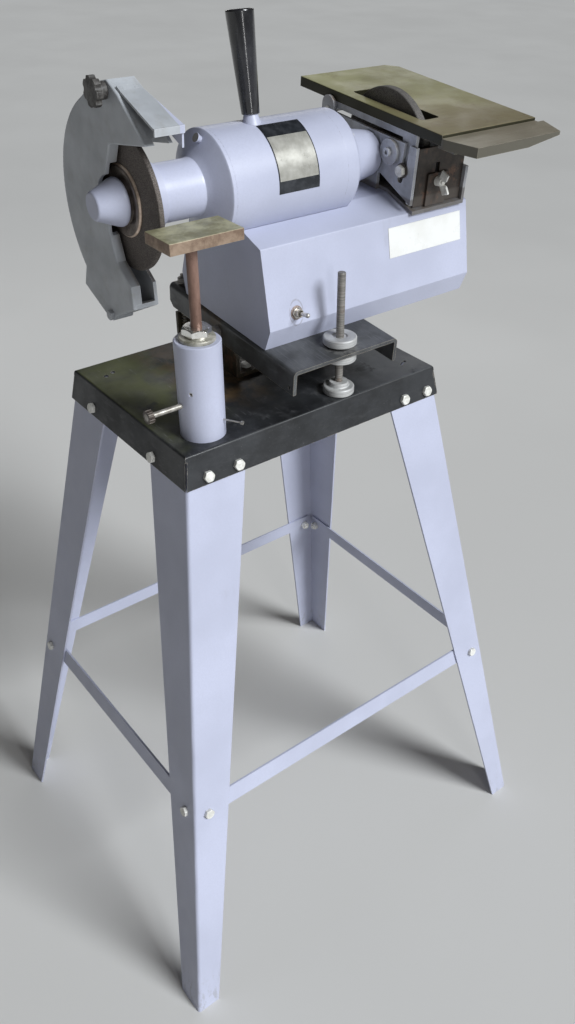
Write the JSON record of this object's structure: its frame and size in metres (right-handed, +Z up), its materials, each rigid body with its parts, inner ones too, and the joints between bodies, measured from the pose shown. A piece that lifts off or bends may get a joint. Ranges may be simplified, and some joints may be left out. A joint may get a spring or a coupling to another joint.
{
  "type": "saw sharpening machine",
  "caption": "Floor-standing grinding machine for saw teeth: rocking motor head with guarded wheel, slotted table and adjustable tool rest on a splayed steel stand.",
  "frame": {"origin": "middle of the object's footprint, on the floor", "axes": "+Z up, +X along the motor's shaft towards the saw table, -Y towards the operator"},
  "size_m": [0.6974, 0.5788, 1.26],
  "materials": {
    "stand_paint": "worn blue-grey paint",
    "tray_black": "black paint under oil and dust",
    "olive_paint": "olive grey paint with wear",
    "bolt_steel": "zinc plated, dulled",
    "rod_steel": "bright with light rust",
    "rusty_steel": "rusty",
    "dark_iron": "dark oiled iron",
    "table_iron": "ground top, stained",
    "chrome_trim": "polished",
    "spring_steel": "dark spring steel",
    "motor_paint": "blue-grey machine enamel",
    "guard_cast": "cast, grey painted",
    "abrasive_stone": "vitrified grit",
    "black_plastic": "moulded black",
    "label_plate": "white lacquered",
    "black_plate": "black lacquered with bare rim",
    "rubber_black": "matt",
    "core_steel": "laminated"
  },
  "bodies": {
    "stand": {"tray": "tray_black", "stand_legs": "stand_paint", "stand_braces": "stand_paint", "stand_bolts": "bolt_steel", "stand_nuts": "bolt_steel", "rest_post": "stand_paint", "tray_screws": "bolt_steel", "gland_nut": "chrome_trim", "post_set_screws": "rod_steel", "stop_rod": "rod_steel", "stop_rod_nuts": "bolt_steel", "pivot_bracket": "dark_iron", "pivot_pin": "rod_steel", "spring_studs": "rod_steel", "rocking_springs": "spring_steel"},
    "rest": {"rest_rod": "rusty_steel", "rest_plate": "dark_iron"},
    "thumb_screw": {"thumb_screw": "bolt_steel"},
    "lower_nut": {"lower_stop_nut": "bolt_steel"},
    "upper_nut": {"upper_stop_nut": "bolt_steel"},
    "head": {"head_channel": "olive_paint", "motor_housing": "motor_paint", "cord_grommet": "rubber_black", "housing_base": "olive_paint", "head_screws": "bolt_steel", "switch_body": "black_plastic", "front_label": "label_plate", "motor_shell": "motor_paint", "left_end_bell": "motor_paint", "right_end_bell": "motor_paint", "stator": "core_steel", "motor_cradle": "olive_paint", "motor_nameplate": "black_plate", "motor_fittings": "motor_paint", "handle_stud": "bolt_steel", "handle_ferrule": "motor_paint", "pull_handle": "black_plastic", "table_bracket": "olive_paint", "wheel_shield": "olive_paint"},
    "switch_lever": {"switch_lever": "bolt_steel"},
    "spindle": {"spindle_shaft": "rod_steel", "rotor": "core_steel", "spindle_bearings": "rod_steel", "grinding_wheel": "abrasive_stone", "wheel_flanges": "bolt_steel", "nose_cone_nut": "motor_paint", "table_wheel": "abrasive_stone", "table_wheel_nut": "bolt_steel"},
    "guard": {"guard_cover": "guard_cast", "guard_body": "guard_cast", "guard_screws": "guard_cast", "guard_visor": "guard_cast"},
    "guard_knob": {"guard_knob": "black_plastic"},
    "table": {"saw_table": "table_iron", "table_arms": "olive_paint", "tilt_hardware": "rod_steel", "front_rail": "table_iron"},
    "clamp_disc": {"clamp_disc": "rod_steel"},
    "wing_nut": {"wing_nut": "bolt_steel"}
  },
  "joints": [
    {"name": "head_rock", "type": "hinge", "parent": "stand", "child": "head", "pos_m": [0.02375, 0.01961, 0.89479], "axis": [1, 0, 0], "range_deg": [-15, 0.4], "deforming": ["rocking_springs"]},
    {"name": "upper_nut_slide", "type": "slide", "parent": "stand", "child": "upper_nut", "axis": [0, 0, 1], "range_m": [-0.002, 0.042]},
    {"name": "lower_nut_slide", "type": "slide", "parent": "stand", "child": "lower_nut", "axis": [0, 0, 1], "range_m": [-0.002, 0.042]},
    {"name": "rest_slide", "type": "slide", "parent": "stand", "child": "rest", "axis": [0, 0, 1], "range_m": [-0.06, 0.04]},
    {"name": "thumb_screw_turn", "type": "hinge", "parent": "stand", "child": "thumb_screw", "pos_m": [-0.16075, -0.0985, 0.881], "axis": [1, 0, 0], "range_deg": [0, 540]},
    {"name": "spindle_spin", "type": "hinge", "parent": "head", "child": "spindle", "pos_m": [-0.01425, 0.0012, 1.08623], "axis": [1, 0, 0], "continuous": true},
    {"name": "guard_swivel", "type": "hinge", "parent": "head", "child": "guard", "pos_m": [-0.01425, 0.0012, 1.08623], "axis": [1, 0, 0], "range_deg": [-20, 20]},
    {"name": "guard_knob_turn", "type": "hinge", "parent": "guard", "child": "guard_knob", "pos_m": [-0.19625, -0.01301, 1.20046], "axis": [1, 0, 0], "range_deg": [-180, 180]},
    {"name": "table_tilt", "type": "hinge", "parent": "head", "child": "table", "pos_m": [0.16875, 0.0845, 1.12323], "axis": [1, 0, 0], "range_deg": [-6, 2]},
    {"name": "clamp_disc_turn", "type": "hinge", "parent": "head", "child": "clamp_disc", "pos_m": [0.16875, -0.04127, 1.09656], "axis": [1, 0, 0], "range_deg": [-90, 90]},
    {"name": "wing_nut_turn", "type": "hinge", "parent": "head", "child": "wing_nut", "pos_m": [0.21475, -0.08222, 1.06317], "axis": [0, 0.9968, 0.0802], "range_deg": [-180, 180]},
    {"name": "switch_toggle", "type": "hinge", "parent": "head", "child": "switch_lever", "pos_m": [-0.01525, -0.09421, 0.94798], "axis": [1, 0, 0], "range_deg": [-10, 10]}
  ],
  "couplings": [
    {"joint": "upper_nut_slide", "follows": "head_rock", "m_per_rad": -0.146},
    {"joint": "lower_nut_slide", "follows": "head_rock", "m_per_rad": -0.13}
  ]
}
